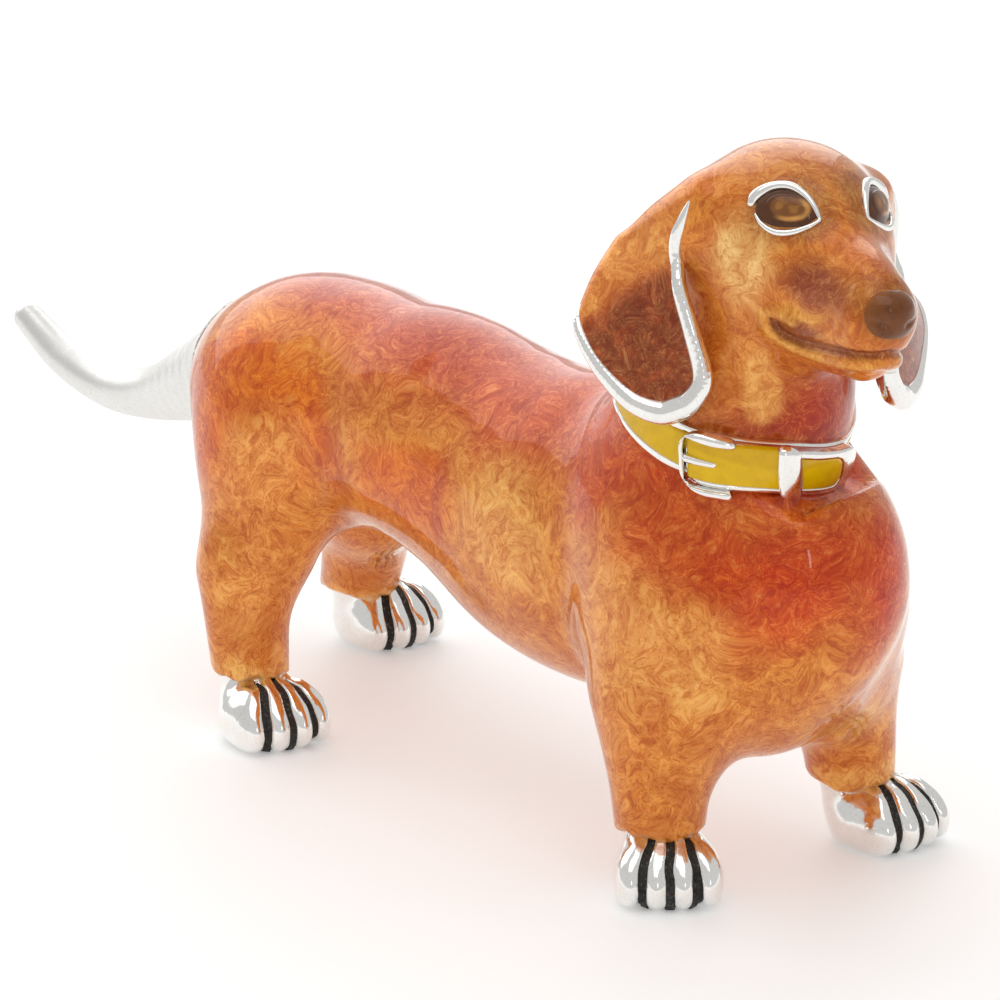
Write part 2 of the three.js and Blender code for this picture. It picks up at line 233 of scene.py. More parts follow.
def surface(form, low, high, cell):
    """Points, faces and normals of the form's surface, by surface nets drawn on to the true surface."""
    cell = cell * COARSE
    low = np.array(low, float)
    n = np.ceil((np.array(high) - low) / cell).astype(int) + 1
    axes = [low[i] + cell * np.arange(n[i]) for i in range(3)]
    grid = np.stack(np.meshgrid(*axes, indexing="ij"), -1).reshape(-1, 3)
    value = form(grid).reshape(n)
    inside = value < 0
    count = np.zeros(n - 1, int)
    for dx in (0, 1):
        for dy in (0, 1):
            for dz in (0, 1):
                count += inside[dx:n[0] - 1 + dx, dy:n[1] - 1 + dy, dz:n[2] - 1 + dz]
    active = (count > 0) & (count < 8)
    index = -np.ones(n - 1, int)
    index[active] = np.arange(active.sum())
    cells = np.argwhere(active)
    total = np.zeros((len(cells), 3))
    hits = np.zeros(len(cells))
    for axis in range(3):
        step = np.eye(3, dtype=int)[axis]
        others = [k for k in range(3) if k != axis]
        for a in (0, 1):
            for b in (0, 1):
                corner = np.zeros(3, int)
                corner[others[0]] = a
                corner[others[1]] = b
                start = cells + corner
                end = start + step
                v0 = value[tuple(start.T)]
                v1 = value[tuple(end.T)]
                crosses = (v0 < 0) != (v1 < 0)
                t = np.where(crosses, v0 / (v0 - v1 + 1e-30), 0)
                place = start + t[:, None] * step
                total[crosses] += place[crosses]
                hits[crosses] += 1
    points = low + cell * total / hits[:, None]
    faces = []
    for axis in range(3):
        o1, o2 = [(1, 2), (2, 0), (0, 1)][axis]
        first = [slice(1, n[k] - 1) for k in range(3)]
        first[axis] = slice(0, n[axis] - 1)
        second = list(first)
        second[axis] = slice(1, n[axis])
        v0 = inside[tuple(first)]
        v1 = inside[tuple(second)]
        crosses = v0 != v1
        at = np.argwhere(crosses) + np.array([0 if k == axis else 1 for k in range(3)])
        u = np.eye(3, dtype=int)[o1]
        w = np.eye(3, dtype=int)[o2]
        corners = [at - u - w, at - w, at, at - u]
        quad = np.stack([index[tuple(c.T)] for c in corners], -1)
        faces.append(np.where(v0[crosses][:, None], quad, quad[:, ::-1]))
    faces = np.concatenate(faces)
    for _ in range(2):
        d = form(points)
        g = slope(form, points, cell * 0.1)
        reach = np.clip(d / np.maximum((g * g).sum(-1), 0.2), -cell, cell)
        points = points - reach[:, None] * g
    g = slope(form, points, cell * 0.15)
    normals = g / (np.linalg.norm(g, axis=1)[:, None] + 1e-12)
    return points, faces, normals


# ---- The body, limb by limb ----
RIBCAGE = [(18.0, 0.5, 18.8), (9.3, 8.6, 11.2)]
TRUNK_ELLIPSOIDS = [
    [(22.6, 0.6, 20.2), (6.2, 6.2, 7.3)],  # forechest
    [(5, 0, 18.8), (17, 8.2, 9.8)],  # ribs
    [(-11.5, 0, 21.5), (15, 7.5, 7.8)],  # loin
    [(-23, -0.2, 21.2), (10.3, 8.7, 7.9)],  # rump
    [(-22.6, -6, 15.7), (5.2, 3.5, 6.5)],  # right thigh
    [(-26.5, 6, 15.5), (5.6, 3.6, 7)],  # left thigh
    [(17.5, -5.6, 16), (6, 3.9, 7.5)],  # right shoulder
    [(18.6, 6, 16), (5.6, 3.8, 7.5)],  # left shoulder
]
TRUNK_LIMBS = [
    [(-22.9, -7.6, 10.4), (-21.5, -8.2, 4.2), 3.0, 2.55],
    [(-28.5, 7.4, 11), (-31.5, 8.6, 4.2), 3.2, 2.7],
    [(17.8, -6.4, 12), (17.6, -6.2, 4.5), 3.7, 2.85],
    [(18.4, 8, 12), (18.2, 9, 4.5), 3.5, 2.8],
    [(14.5, 0, 24), (18.2, -0.4, 33), 7.6, 6.2],  # root of the neck
]
TAIL_JOINTS = [
    (-31, 0, 21.3), (-36.5, 0, 19.2), (-42.5, 0, 16.8), (-48, 0, 15.9),
    (-53.3, -0.2, 16.9), (-57.3, -0.4, 18.9),
]
TAIL_RADII = [4.2, 2.9, 1.85, 1.45, 1.25, 0.95]
TAIL_SPARE = 0.1  # the silver is this much fuller than its joints
RUMP_SHELL = 0.15  # the tail is split off this far above the rump's own form
TAIL_GAP = 0.14  # between the rump's enamel and the silver of the tail
TAIL_REACH = (-28.0, 12.0)  # the tail lies behind this X and above this Z
NECK = [(17.4, -0.4, 28), (20.2, 0, 38), 6.8, 5.3]
NECK_FLARE = (7.1, 7.1, 8.0)  # the neck widens to fill the collar, in the collar's frame
THIN_BLEND = 0.02  # between the short lengths of a curved bead, so that their joints don't swell
HAND_WORK = 0.05  # how far the hand-finished surface wanders from the plain form


def trunk_form(p):
    d = ellipsoid(p, *RIBCAGE)
    for shape in TRUNK_ELLIPSOIDS:
        d = join(d, ellipsoid(p, *shape), 3.0)
    for shape in TRUNK_LIMBS:
        d = join(d, limb(p, *shape), 3.0)
    return d + HAND_WORK * ripple(p, 4.5, 3) + 0.4 * HAND_WORK * ripple(p, 1.9, 4)


tail_line = spline(np.column_stack([TAIL_JOINTS, TAIL_RADII]), 5)


def tail_form(p):
    d = chain(p, tail_line[:, :3], tail_line[:, 3], THIN_BLEND)
    return d - TAIL_SPARE + 0.4 * HAND_WORK * ripple(p, 4.0, 5)


def body_form(p):
    return join(trunk_form(p), tail_form(p), 2.5)


def above_collar(p):
    return COLLAR.inward(p)[:, 2]


# ---- Head, in its own frame ----
SKULL = [(0, 0, 0), (7.0, 5.9, 5.9)]
BACK_OF_HEAD = [(-2.0, 0, -1.5), (5.5, 5.8, 6.0)]
MUZZLE = [(3.0, 0, -1.8), (10.6, 0, -2.3), 4.2, 2.3]
JAW = [(2.0, 0, -4.1), (9.7, 0, -4.6), 3.0, 1.6]
BRIDGE = [(7.0, 0, -0.3), (4.6, 2.1, 2.0)]  # of the muzzle, fuller than a plain taper
MOUTH_LINE = [  # the left half, from the corner to the middle; it is drawn on to the skin
    (5.3, 3.9, -3.6), (5.3, 3.6, -4.1), (5.8, 3.2, -4.4), (7.0, 2.7, -4.5), (8.7, 2.3, -4.35),
    (10.5, 1.8, -4.1), (11.7, 1.1, -3.9), (12.3, 0.0, -3.7),
]
LIP_RIDGE = [  # loops round the mouth's corner and runs under the mouth
    (6.6, 3.3, -3.2), (5.6, 3.7, -3.0), (4.8, 4.0, -3.2), (4.6, 3.9, -3.9), (4.9, 3.5, -4.6),
    (5.8, 2.9, -5.0), (7.2, 2.4, -5.1), (8.9, 1.9, -5.0), (10.4, 1.5, -4.8), (11.5, 0.9, -4.6),
    (12.0, 0.0, -4.5),
]
EYE_CENTRE = (4.5, 3.0, 2.95)
EYE_OUTWARD = (0.64, 0.6, 0.48)


def mirrored(p, side):
    return p * np.array([1, side, 1])


def folded_over(q):
    """The points of both sides, brought to the left."""
    return np.stack([q[:, 0], np.abs(q[:, 1]), q[:, 2]], 1)


def eye_place(side):
    outward = unit(mirrored(np.array(EYE_OUTWARD), side))
    along = unit(np.cross([0, 0, 1], outward))
    up = np.cross(outward, along)
    return Place(mirrored(np.array(EYE_CENTRE), side), np.stack([along, up, outward], 1))


EYES = {"right": eye_place(-1), "left": eye_place(1)}


def skull_form(q):
    """The head without its ears, from points in the head's frame."""
    d = ellipsoid(q, *SKULL)
    d = join(d, ellipsoid(q, *BACK_OF_HEAD), 2.0)
    d = join(d, limb(q, *MUZZLE), 2.0)
    d = join(d, ellipsoid(q, *BRIDGE), 1.5)
    return join(d, limb(q, *JAW), 2.0)


def drawn_on(points):
    """Points near the head, moved on to its skin."""
    p = np.array(points, float)
    for _ in range(6):
        g = slope(skull_form, p, 0.02)
        p = p - skull_form(p)[:, None] * g
    return p


mouth_line = drawn_on(spline(MOUTH_LINE, 2))
lip_ridge = drawn_on(spline(LIP_RIDGE, 3))


def face_form(q):
    """The head with its sockets, lips and mouth."""
    d = skull_form(q)
    near = (np.abs(d) < 2.5) & (q[:, 0] > 0)
    work = folded_over(q)[near]
    face = d[near]
    eye = EYES["left"].inward(work)
    face = cut(face, ellipsoid(eye, (0.0, -0.1, 1.05), (2.4, 1.7, 0.75)), 0.7)
    face = join(face, bead(work, lip_ridge, 0.24, THIN_BLEND), 0.8)
    face = cut(face, bead(work, mouth_line, 0.12, THIN_BLEND), 0.45)
    face = join(face, ellipsoid(work, (10.9, 0, -1.8), (2.0, 2.1, 1.9)), 1.0)
    d[near] = face
    return d


# ---- Ears, each in its own plane: X forward, Y up the ear, Z outward ----
EAR_OUTLINE = [
    (0.3, 7.3), (0.1, 6.4), (-0.05, 5.2), (-0.3, 3.4), (0.5, 1.6), (1.75, -0.9), (2.6, -3.4), (2.1, -4.9),
    (1.25, -5.7), (0.15, -6.2), (-1.8, -5.7), (-3.8, -4.2), (-5.25, -2.65), (-6.25, -1.2), (-6.2, 1.2),
    (-5.5, 3.3), (-4.6, 4.45), (-1.25, 6.5),
]
EAR_CENTRE = (-0.03, 7.56, -4.47)
EAR_FORWARD = (0.74, -0.67, 0.01)
EAR_OUTWARD = (0.66, 0.74, 0.14)
EAR_HALF = 0.55  # half the ear's thickness
EAR_CUP = 0.02  # the ear's edges curl towards the neck
EAR_FLARE = 0.14  # how far the lobe's back edge swings out, for each unit back from the front
EAR_TUCK = 0.36  # how far the back edge tucks in at the top
EAR_TOP_TUCK = 1.1  # how far the whole ear lies in towards the skull at its top
EAR_EDGE = 0.5  # radius of the ear's edge
EAR_REACH = (9, 10, 6)  # beyond these in its own frame the ear's field isn't worked out
EAR_BLEND = (0.3, 4.2)  # the ear's joint to the head: at the free lobe, and what the root adds
EAR_RIM = [  # along the ear's front, bottom and back: X, Y and the bead's radius
    (0.3, 7.0, 0.06), (0.1, 6.3, 0.22), (-0.1, 5.6, 0.34), (-0.35, 4.7, 0.42),
    (-0.35, 3.6, 0.42), (0.25, 1.8, 0.46), (1.4, -0.9, 0.54),
    (2.2, -3.4, 0.64), (1.7, -4.8, 0.74), (0.9, -5.4, 0.8), (-0.1, -5.75, 0.76), (-1.9, -5.3, 0.64),
    (-3.75, -3.95, 0.52), (-5.1, -2.5, 0.4), (-6.05, -1.1, 0.28), (-6.2, -0.2, 0.12),
]
outline = spline(EAR_OUTLINE, 4, closed=True)


def ear_place(side):
    outward = unit(EAR_OUTWARD)
    forward = np.array(EAR_FORWARD)
    forward = unit(forward - (forward @ outward) * outward)
    up = np.cross(forward, outward)
    turn = np.stack([forward, up, outward], 1) * np.array([[1], [side], [1]])
    return Place(mirrored(np.array(EAR_CENTRE), side), turn)


EARS = {"right": ear_place(-1), "left": ear_place(1)}


def ear_bend(x, y):
    """How far the ear's middle surface lies below its flat plane."""
    twist = EAR_FLARE - (EAR_FLARE + EAR_TUCK) * smooth(y, -3, 4)
    return x * twist + EAR_CUP * x**2 + EAR_TOP_TUCK * smooth(y, 1.5, 6.5)


def ear_level(e):
    return e[:, 2] + ear_bend(e[:, 0], e[:, 1])


def ear_form(e):
    d = np.full(len(e), 20.0)
    near = (np.abs(e) < EAR_REACH).all(1)
    part = e[near]
    flat = outline_distance(part[:, 0], part[:, 1], outline)
    d[near] = plate(flat, ear_level(part), EAR_HALF, EAR_EDGE)
    return d


def head_form(p):
    """Neck, head and ears, above the collar."""
    q = HEAD.inward(p)
    d = join(face_form(q), limb(p, *NECK), 2.5)
    d = join(d, ellipsoid(COLLAR.inward(p), (0, 0, 0), NECK_FLARE), 1.0)
    for place in EARS.values():
        e = place.inward(q)
        blend = EAR_BLEND[0] + EAR_BLEND[1] * smooth(e[:, 1], 1.5, 6.5)
        d = join(d, ear_form(e), blend)
    d = d + 0.7 * HAND_WORK * ripple(p, 3.6, 6) + 0.3 * HAND_WORK * ripple(p, 1.5, 7)
    return meet(d, -above_collar(p), 0.3)


# ---- Paws ----
PAW_PLACES = {
    "right_front": Place([18.9, -6.6, 0], turn(2, -38)),
    "left_front": Place([19.9, 10.2, 0], turn(2, 4)),
    "right_hind": Place([-19.3, -8.3, 0], turn(2, -10)),
    "left_hind": Place([-30.8, 10.2, 0], turn(2, -2)),
}
ANKLES = {
    "right_front": (17.6, -6.2),
    "left_front": (18.2, 9.0),
    "right_hind": (-21.7, -8.1),
    "left_hind": (-31.5, 8.6),
}
TOES = [-2.35, -0.82, 0.82, 2.35]
GROOVES = {"outer": -1.6, "middle": 0.0, "inner": 1.6}


def groove_side(q, y):
    """How far sideways a point is from the groove that runs down the paw at y, closer in at the ankle."""
    fan = 0.6 + 0.42 * smooth(q[:, 0], 0.0, 3.4)
    return q[:, 1] - y * fan + 0.14 * ripple(q + 9 * y, 1.3, 16)


def groove_width(q):
    """Half the groove's width: narrow at the ankle, widest over the knuckles."""
    return 0.07 + 0.11 * smooth(q[:, 0], 0.2, 1.6) - 0.05 * smooth(q[:, 0], 2.6, 4.0)


def paw_block(q, ankle):
    d = ellipsoid(q, (-0.1, 0, 1.5), (3.5, 3.4, 2.8))
    for y in TOES:
        toe = ellipsoid(q, (2.0 - 0.3 * abs(y), y * 1.02, 1.45), (2.05, 1.0, 1.8))
        knuckle = ellipsoid(q, (0.7, y * 0.8, 2.6), (1.7, 0.8, 1.4))
        d = join(d, join(toe, knuckle, 0.8), 0.35)
    return join(d, limb(q, (ankle[0], ankle[1], 5.2), (ankle[0] + 0.2, ankle[1] * 0.8, 3.0), 2.2, 2.1), 0.9)


def paw_form(q, ankle):
    d = paw_block(q, ankle)
    for y in GROOVES.values():
        channel = np.abs(groove_side(q, y)) - groove_width(q) - 0.05
        depth = -(d + 0.5)
        back = -(q[:, 0] - 0.15 * np.abs(y)) - 0.1
        top = q[:, 2] - 4.3
        groove = np.maximum(np.maximum(channel, depth), np.maximum(back, top))
        d = cut(d, groove, 0.2)
    d = meet(d, -q[:, 2], 0.7)
    return meet(d, q[:, 2] - 5.4, 0.1) + 0.3 * HAND_WORK * ripple(q, 1.4, 8)


def fill_form(q, ankle, y):
    """The black that lies in one groove, with a rough top just under the silver."""
    block = paw_block(q, ankle)
    d = block + 0.12 + 0.06 * ripple(q, 0.45, 9)
    d = meet(d, np.abs(groove_side(q, y)) - groove_width(q) - 0.14, 0.1)
    d = meet(d, -(q[:, 0] - 0.15 * abs(y)) + 0.1, 0.15)
    d = meet(d, q[:, 2] - 4.15, 0.1)
    d = meet(d, -(block + 0.75), 0.05)
    return meet(d, -(q[:, 2] - 0.06), 0.05)


# ---- Colours, as sRGB out of 255 ----
def linear(colour):
    c = np.array(colour, float) / 255
    return np.where(c <= 0.04045, c / 12.92, ((c + 0.055) / 1.055) ** 2.4)


TAN = (242, 164, 84)
ORANGE = (226, 138, 54)
AMBER = (226, 110, 4)
DEEP_AMBER = (206, 88, 4)
GOLD = (244, 174, 90)
BACK_RED = (202, 84, 36)
# painted reflection: the pinkish veil of the overhead light on the top of the back, and a tall window's
# reflection on the right flank
PAINTED_REFLECTION_PINK = (196, 80, 46)
RUST = (214, 76, 6)
DEEP_RED = (206, 54, 6)
THROAT_RED = (176, 44, 5)
BROW = (208, 136, 72)
CHEEK_GOLD = (254, 206, 132)
MUZZLE_PEACH = (220, 130, 66)
LIP_PURPLE = (158, 78, 52)
LIP_BROWN = (150, 72, 30)
LIP_GOLD = (236, 168, 72)
MOUTH_BROWN = (136, 62, 26)
EYE_SHADE = (158, 96, 44)
EAR_BROWN = (142, 70, 38)
EAR_RED = (196, 98, 52)
EYE_BROWN = (88, 50, 22)
IRIS_BROWN = (132, 82, 38)
NOSE_BROWN = (156, 92, 36)
NOSE_DARK = (104, 56, 22)
YELLOW = (230, 186, 2)
OLIVE = (204, 156, 2)
PEARL_GOLD = (238, 160, 84)
PEARL_THREADS = 0.4  # how strongly the pearly threads show
ENAMEL_DEPTH = np.array([0.96, 0.91, 0.8])  # how much the glass darkens the colours above


def spot(p, centre, radii, softness=0.5):
    """Weight 1 in an ellipsoid's middle, falling to 0 at its surface over the softness."""
    d = np.linalg.norm((p - np.array(centre, float)) / np.array(radii, float), axis=1)
    return 1 - smooth(d, 1 - softness, 1)


def paint(tint, weight, colour, strength=1.0):
    w = (weight * strength)[:, None]
    return tint * (1 - w) + linear(colour) * w


def paint_spots(tint, p, spots):
    for centre, radii, softness, colour, strength in spots:
        tint = paint(tint, spot(p, centre, radii, softness), colour, strength)
    return tint


def ragged(p, size, reach, seed):
    """The points moved about, so that what is painted at them gets an uneven edge."""
    shift = np.stack([ripple(p, size, seed + k) for k in range(3)], 1)
    fine = np.stack([ripple(p, size / 3, seed + 3 + k) for k in range(3)], 1)
    return p + reach * (shift + 0.4 * fine)


TRUNK_SPOTS = [  # centre, half lengths, softness, colour, strength
    [(-3, 0, 31), (38, 11, 9.5), 0.5, BACK_RED, 0.95],
    # painted reflection of the overhead light, on the top of the rump and of the back
    [(-20, 0, 30), (14, 9, 5), 0.7, PAINTED_REFLECTION_PINK, 0.7],
    [(-6, -2, 30), (13, 6, 4), 0.7, PAINTED_REFLECTION_PINK, 0.8],
    [(4, -5, 27), (9, 6, 5), 0.7, BACK_RED, 0.8],
    [(14, -7, 27), (8, 5, 5), 0.6, RUST, 0.85],
    [(-21, -9, 21.5), (9, 6, 6), 0.35, AMBER, 0.95],
    [(-19.5, -9.5, 19), (5.5, 5, 5), 0.6, TAN, 0.75],
    [(-27, -7, 19), (2.6, 5, 8), 0.6, DEEP_AMBER, 0.6],
    [(-13.5, -8, 20.5), (2.2, 4, 4.5), 0.6, DEEP_AMBER, 0.7],
    [(-6, -8, 20.5), (7, 5, 4.2), 0.45, AMBER, 0.95],
    # painted reflection of a tall window, a narrow upright strip on the right flank
    [(-2.4, -8, 21), (1.4, 4, 4.5), 0.6, PAINTED_REFLECTION_PINK, 0.6],
    [(4.5, -9, 20.5), (6.5, 4, 5.2), 0.45, GOLD, 0.9],
    [(3, -6, 12.5), (14, 6, 4.5), 0.6, ORANGE, 0.9],
    [(-21, -9, 10), (5, 4, 7), 0.7, TAN, 0.6],
    [(18, -10, 18), (7, 4, 9), 0.6, TAN, 0.85],
    [(21, -7, 23), (8, 5, 4), 0.6, RUST, 0.8],
    [(19, 0, 27), (10, 9, 3.8), 0.45, DEEP_RED, 0.9],
    [(26, -5, 21), (8, 6, 6), 0.8, RUST, 0.9],
    [(28, -3, 23), (6, 5, 5), 0.8, DEEP_RED, 0.7],
    [(30, 2, 21), (6, 6, 9), 0.7, DEEP_RED, 0.9],
    [(24, -9, 16), (4, 4, 6), 0.7, GOLD, 0.7],
    [(25, -3, 12.5), (6, 5, 4), 0.7, ORANGE, 0.7],
    [(20, -8, 8), (5, 4, 5), 0.7, ORANGE, 0.8],
    [(22.4, 5.6, 9.5), (2.6, 3.2, 2.6), 0.6, GOLD, 0.9],
    [(-22, 9, 20), (9, 5, 6), 0.4, AMBER, 0.85],
    [(-6, 8, 21), (7, 5, 4.5), 0.45, AMBER, 0.8],
    [(4.5, 9, 20.5), (6.5, 4, 5.2), 0.45, GOLD, 0.8],
    [(14, 7, 27), (8, 5, 5), 0.6, RUST, 0.7],
]


HEM_COATS = 4  # thin coats of gold that build up at the legs' hems


def trunk_tint(p):
    q = ragged(p, 4.0, 1.3, 20)
    tint = np.tile(linear(ORANGE), (len(p), 1))
    tint = paint_spots(tint, q, TRUNK_SPOTS)
    low = 1 - smooth(q[:, 2], ANKLE + 0.2, ANKLE + 1.5)
    for _ in range(HEM_COATS):
        tint = paint(tint, low, GOLD, 0.6)
    return tint * ENAMEL_DEPTH


HEAD_SPOTS = [  # in the head's frame, mirrored to both sides
    [(0, 0, 5), (8, 7, 5), 0.6, BROW, 0.7],
    [(3.2, 5.2, -0.3), (3.4, 2.6, 3.6), 0.6, CHEEK_GOLD, 0.8],
    [(1.0, 6.0, -3.5), (3.0, 2.2, 4.0), 0.6, ORANGE, 0.6],
    [(8.5, 0, 1.2), (4.4, 2.6, 1.8), 0.6, MUZZLE_PEACH, 0.95],
    [(8.4, 3.0, -0.7), (5.0, 2.3, 2.2), 0.7, LIP_PURPLE, 0.9],
    [(7.8, 3.2, -3.4), (3.6, 1.6, 0.9), 0.6, LIP_BROWN, 0.9],
    [(8.0, 3.2, -2.5), (3.0, 1.2, 0.5), 0.6, LIP_GOLD, 0.6],
    [(7.6, 2.1, 0.5), (0.55, 0.55, 0.55), 0.5, LIP_PURPLE, 0.9],
    [(6.4, 2.4, 0.9), (0.4, 0.4, 0.4), 0.5, LIP_PURPLE, 0.9],
    [(12.0, 0, -1.0), (4.4, 3.4, 3.2), 0.7, NOSE_BROWN, 0.9],
    [(4.9, 3.0, 3.2), (3.3, 3.5, 2.9), 0.5, EYE_SHADE, 0.85],
    [(4.9, 3.0, 3.2), (2.4, 2.5, 1.9), 0.4, LIP_GOLD, 0.3],
    [(9.0, 1.8, -6.0), (4.5, 1.8, 1.0), 0.6, ORANGE, 0.8],
]
THROAT_SPOTS = [  # in the body's frame
    [(21, 0, 31.0), (9, 9, 3.6), 0.6, THROAT_RED, 0.95],
    [(26, 1, 33), (4, 5, 4), 0.7, THROAT_RED, 0.8],
    [(23.6, -3.4, 33.0), (1.6, 1.8, 2.2), 0.5, GOLD, 0.9],
]


def head_tint(p):
    q = HEAD.inward(ragged(p, 2.2, 0.5, 40))
    folded = folded_over(q)
    tint = np.tile(linear(ORANGE), (len(p), 1))
    wander = ragged(p, 4.0, 1.0, 50)
    tint = paint_spots(tint, wander, THROAT_SPOTS)
    tint = paint_spots(tint, folded, HEAD_SPOTS)
    exact = folded_over(HEAD.inward(p))
    on_ridge = 1 - smooth(bead(exact, lip_ridge, 0.0, 0.1), 0.25, 0.6)
    tint = paint(tint, on_ridge, LIP_GOLD, 0.85)
    in_mouth = 1 - smooth(bead(exact, mouth_line, 0.0, 0.1), 0.15, 0.45)
    tint = paint(tint, in_mouth, MOUTH_BROWN, 0.8)
    for side in EARS:
        tint = ear_paint(tint, EARS[side].inward(q), EARS[side].inward(HEAD.inward(p)))
    return tint * ENAMEL_DEPTH


def ear_paint(tint, loose, e):
    """The ear's outer face goes from the head's orange to a dark mottled brown; its back stays orange."""
    outer = smooth(ear_level(e), 0.0, 0.4) * (ear_form(e) < 0.35)
    lobe = 1 - smooth(loose[:, 1] - 0.9 * loose[:, 0], 1.8, 5.2)
    mottle = 0.5 + 0.5 * ripple(loose, 1.1, 60)
    tint = paint(tint, outer * (1 - lobe), TAN, 0.7)
    tint = paint(tint, outer * smooth(lobe, 0.0, 0.5), EAR_RED, 0.8)
    tint = paint(tint, outer * smooth(lobe, 0.25, 0.9), EAR_BROWN, 0.95)
    fine = 0.5 + 0.5 * ripple(loose, 0.4, 61)
    tint = paint(tint, outer * lobe * smooth(fine, 0.5, 0.9), EAR_RED, 0.6)
    return paint(tint, outer * lobe * smooth(mottle, 0.55, 0.85), EAR_RED, 0.5)


# ---- Materials ----
class Shader:
    """A material's node tree, with short ways to add a node and join two."""

    def __init__(self, name):
        self.material = bpy.data.materials.new(name)
        self.material.use_nodes = True
        self.tree = self.material.node_tree
        self.principled = self.tree.nodes["Principled BSDF"]

    def add(self, kind, values=None, **settings):
        made = self.tree.nodes.new(kind)
        for key, value in settings.items():
            setattr(made, key, value)
        for key, value in (values or {}).items():
            made.inputs[key].default_value = value
        return made

    def link(self, source, target):
        self.tree.links.new(source, target)

    def set(self, **values):
        for key, value in values.items():
            self.principled.inputs[key.replace("_", " ")].default_value = value

    def millimetres(self):
        coordinates = self.add("ShaderNodeTexCoord")
        scale = self.add("ShaderNodeVectorMath", operation="SCALE")
        scale.inputs["Scale"].default_value = 1000
        self.link(coordinates.outputs["Object"], scale.inputs[0])
        return scale.outputs[0]

    def noise(self, vector, scale, detail, distortion=0.0, roughness=0.55, output="Fac"):
        values = {"Scale": scale, "Detail": detail, "Distortion": distortion, "Roughness": roughness}
        made = self.add("ShaderNodeTexNoise", values, noise_type="FBM")
        self.link(vector, made.inputs["Vector"])
        return made.outputs[output]

    def warped(self, vector, scale, reach, detail=1.0):
        """The vector, pushed about by noise."""
        pushes = self.noise(vector, scale, detail, output="Color")
        centred = self.add("ShaderNodeVectorMath", operation="SUBTRACT")
        centred.inputs[1].default_value = (0.5, 0.5, 0.5)
        self.link(pushes, centred.inputs[0])
        stretched = self.add("ShaderNodeVectorMath", operation="SCALE")
        stretched.inputs["Scale"].default_value = reach
        self.link(centred.outputs[0], stretched.inputs[0])
        total = self.add("ShaderNodeVectorMath", operation="ADD")
        self.link(vector, total.inputs[0])
        self.link(stretched.outputs[0], total.inputs[1])
        return total.outputs[0]

    def ramp(self, source, stops):
        made = self.add("ShaderNodeValToRGB")
        elements = made.color_ramp.elements
        while len(elements) < len(stops):
            elements.new(0.5)
        for element, (position, colour) in zip(elements, stops):
            element.position = position
            element.color = (*colour, 1)
        self.link(source, made.inputs[0])
        return made.outputs["Color"]

    def mix(self, factor, a, b, blend="MIX"):
        made = self.add("ShaderNodeMix", data_type="RGBA", blend_type=blend)
        for socket, value in ((made.inputs[0], factor), (made.inputs[6], a), (made.inputs[7], b)):
            if isinstance(value, (int, float)):
                socket.default_value = value
            elif isinstance(value, (tuple, np.ndarray)):
                socket.default_value = (*value, 1)
            else:
                self.link(value, socket)
        return made.outputs[2]

    def times(self, a, b):
        return self.mix(1.0, a, b, "MULTIPLY")

    def maths(self, operation, a, b):
        made = self.add("ShaderNodeMath", operation=operation)
        for socket, value in zip(made.inputs, (a, b)):
            if isinstance(value, (int, float)):
                socket.default_value = value
            else:
                self.link(value, socket)
        return made.outputs[0]

    def base(self, colour):
        self.link(colour, self.principled.inputs["Base Color"])

    def roughness(self, source, low, high):
        """Roughness that follows the source; low and high are each a place on it and the value there."""
        stops = [(place, (value, value, value)) for place, value in (low, high)]
        self.link(self.ramp(source, stops), self.principled.inputs["Roughness"])

    def bump(self, height, strength, distance_mm):
        made = self.add("ShaderNodeBump", {"Strength": strength, "Distance": distance_mm / 1000})
        self.link(height, made.inputs["Height"])
        self.link(made.outputs[0], self.principled.inputs["Normal"])


CLEAR_GLOSS = {"Coat_Weight": 1.0, "Coat_IOR": 1.32}  # a thin clear glass over the colour


PEARL_METALLIC = 0.4
PEARL_FLECK = 0.5  # how strongly the single flakes glint


def pearl_enamel(name, contrast=1.0, size=1.0):
    """Glass enamel whose pearly flakes swirled into fibres while it was wet, under a clear gloss."""
    s = Shader(name)
    mm = s.millimetres()
    drift = s.warped(mm, 0.22 / size, 5.0 * size)
    swirl = s.warped(drift, 0.75 / size, 1.6 * size)
    fibres = s.noise(swirl, 1.15 / size, 4, distortion=1.6, roughness=0.6)
    curls = s.noise(swirl, 2.6 / size, 3, distortion=3.0, roughness=0.6)
    cloud = s.noise(swirl, 0.45 / size, 3, distortion=0.8)
    both = s.mix(0.4, fibres, curls)
    low = (1 - 0.22 * contrast, 1 - 0.46 * contrast, 1 - 0.62 * contrast)
    high = (1 + 0.10 * contrast, 1 + 0.36 * contrast, 1 + 0.75 * contrast)
    shade = s.ramp(both, [(0.40, low), (0.5, (1, 1, 1)), (0.60, high)])
    tint = s.add("ShaderNodeAttribute", attribute_name="tint")
    colour = s.times(tint.outputs["Color"], shade)
    even = s.mix(0.5, fibres, curls)
    threads = s.ramp(even, [(0.52, (0, 0, 0)), (0.64, (1, 1, 1))])
    colour = s.mix(s.maths("MULTIPLY", threads, PEARL_THREADS), colour, linear(PEARL_GOLD))
    depth = s.ramp(cloud, [(0.40, (0.86, 0.72, 0.62)), (0.60, (1.06, 1.14, 1.22))])
    colour = s.times(colour, depth)
    flakes = s.noise(mm, 9.0, 2)
    sparkle = s.ramp(flakes, [(0.6, (0, 0, 0)), (0.74, (1, 1, 1))])
    glint = s.maths("MULTIPLY", sparkle, PEARL_FLECK)
    colour = s.mix(glint, colour, s.times(colour, (1.35, 1.6, 1.8)))
    s.base(colour)
    s.roughness(both, (0.35, 0.5), (0.65, 0.36))
    s.bump(both, 0.35, 0.12 * size)
    s.set(Metallic=PEARL_METALLIC, Coat_Roughness=0.03, Specular_IOR_Level=0.12, **CLEAR_GLOSS)
    return s.material


